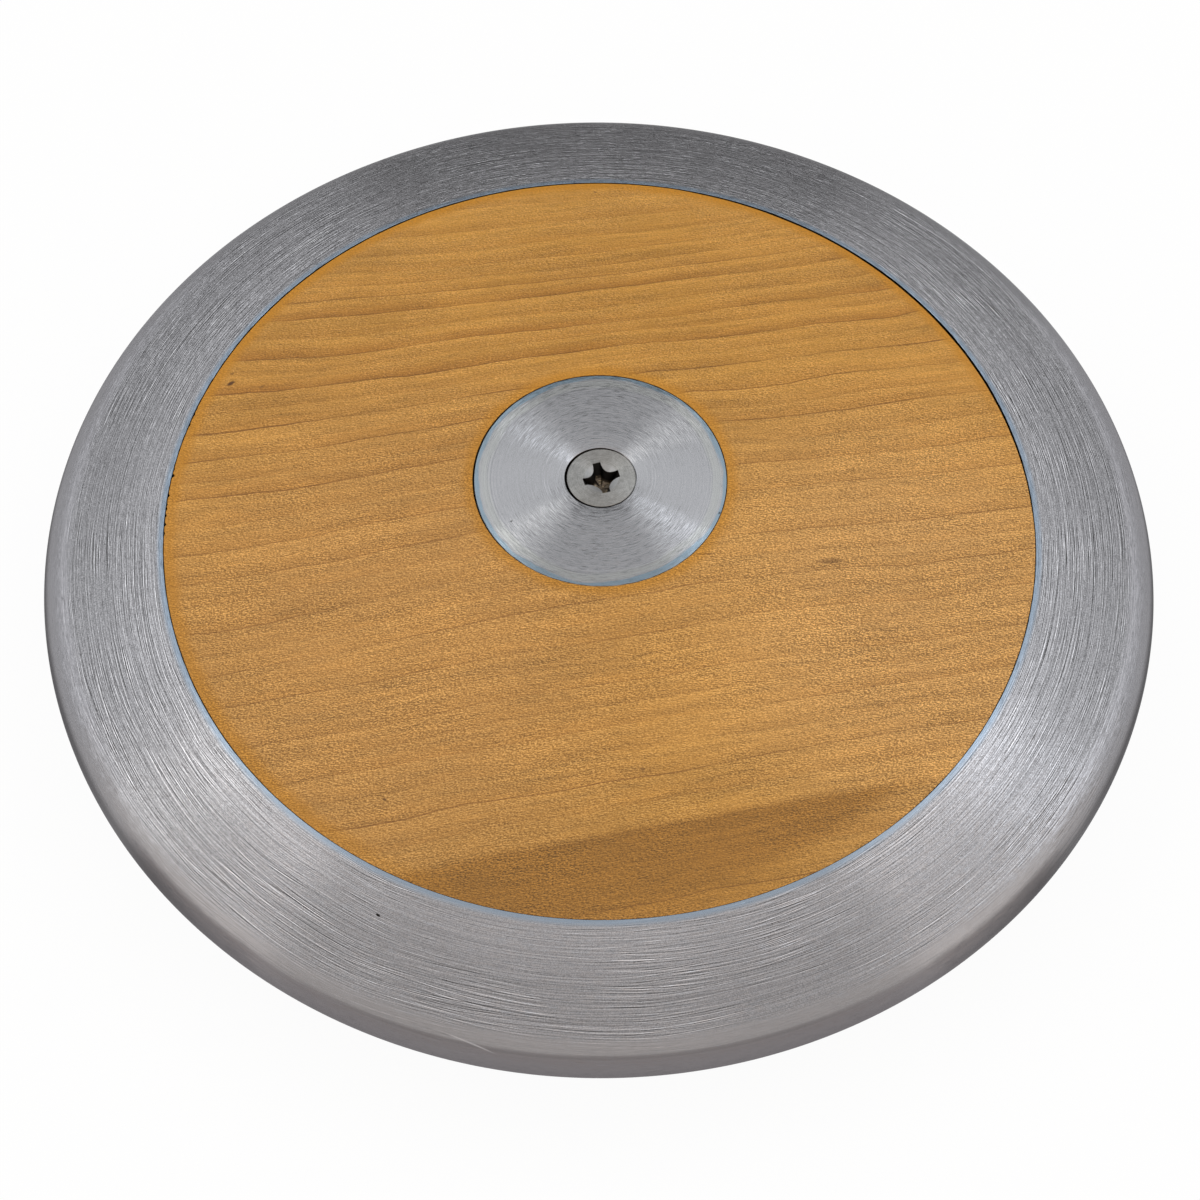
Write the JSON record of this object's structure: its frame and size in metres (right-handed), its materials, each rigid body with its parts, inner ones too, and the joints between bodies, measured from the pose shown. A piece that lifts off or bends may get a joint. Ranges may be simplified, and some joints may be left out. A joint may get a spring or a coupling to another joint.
{
  "type": "discus",
  "caption": "Throwing discus with a turned steel rim, turned hardwood sides and steel hub plates held by countersunk screws.",
  "frame": {"origin": "centre of the discus, where its axis crosses the middle plane of its rim", "axes": "+Z along the discus's axis, square to its flat centres; +X and +Y lie in the middle plane of the rim"},
  "size_m": [0.22, 0.22, 0.045],
  "materials": {
    "rim_steel": "turned bright, with fine circular tool marks",
    "plate_steel": "fine turned satin",
    "screw_steel": "plain bright",
    "inner_steel": "as machined",
    "hardwood": "clear satin lacquer over flat-sawn hardwood",
    "felt": "pressed felt"
  },
  "bodies": {
    "root": {"rim": "rim_steel", "upper_wood_side": "hardwood", "lower_wood_side": "hardwood", "upper_hub_plate": "plate_steel", "lower_hub_plate": "plate_steel", "upper_screw": "screw_steel", "lower_screw": "screw_steel", "core_sleeve": "inner_steel", "tuning_washer_1": "inner_steel", "tuning_washer_2": "inner_steel", "tuning_washer_3": "inner_steel", "tuning_washer_4": "inner_steel", "upper_felt_ring": "felt", "lower_felt_ring": "felt"}
  },
  "joints": []
}
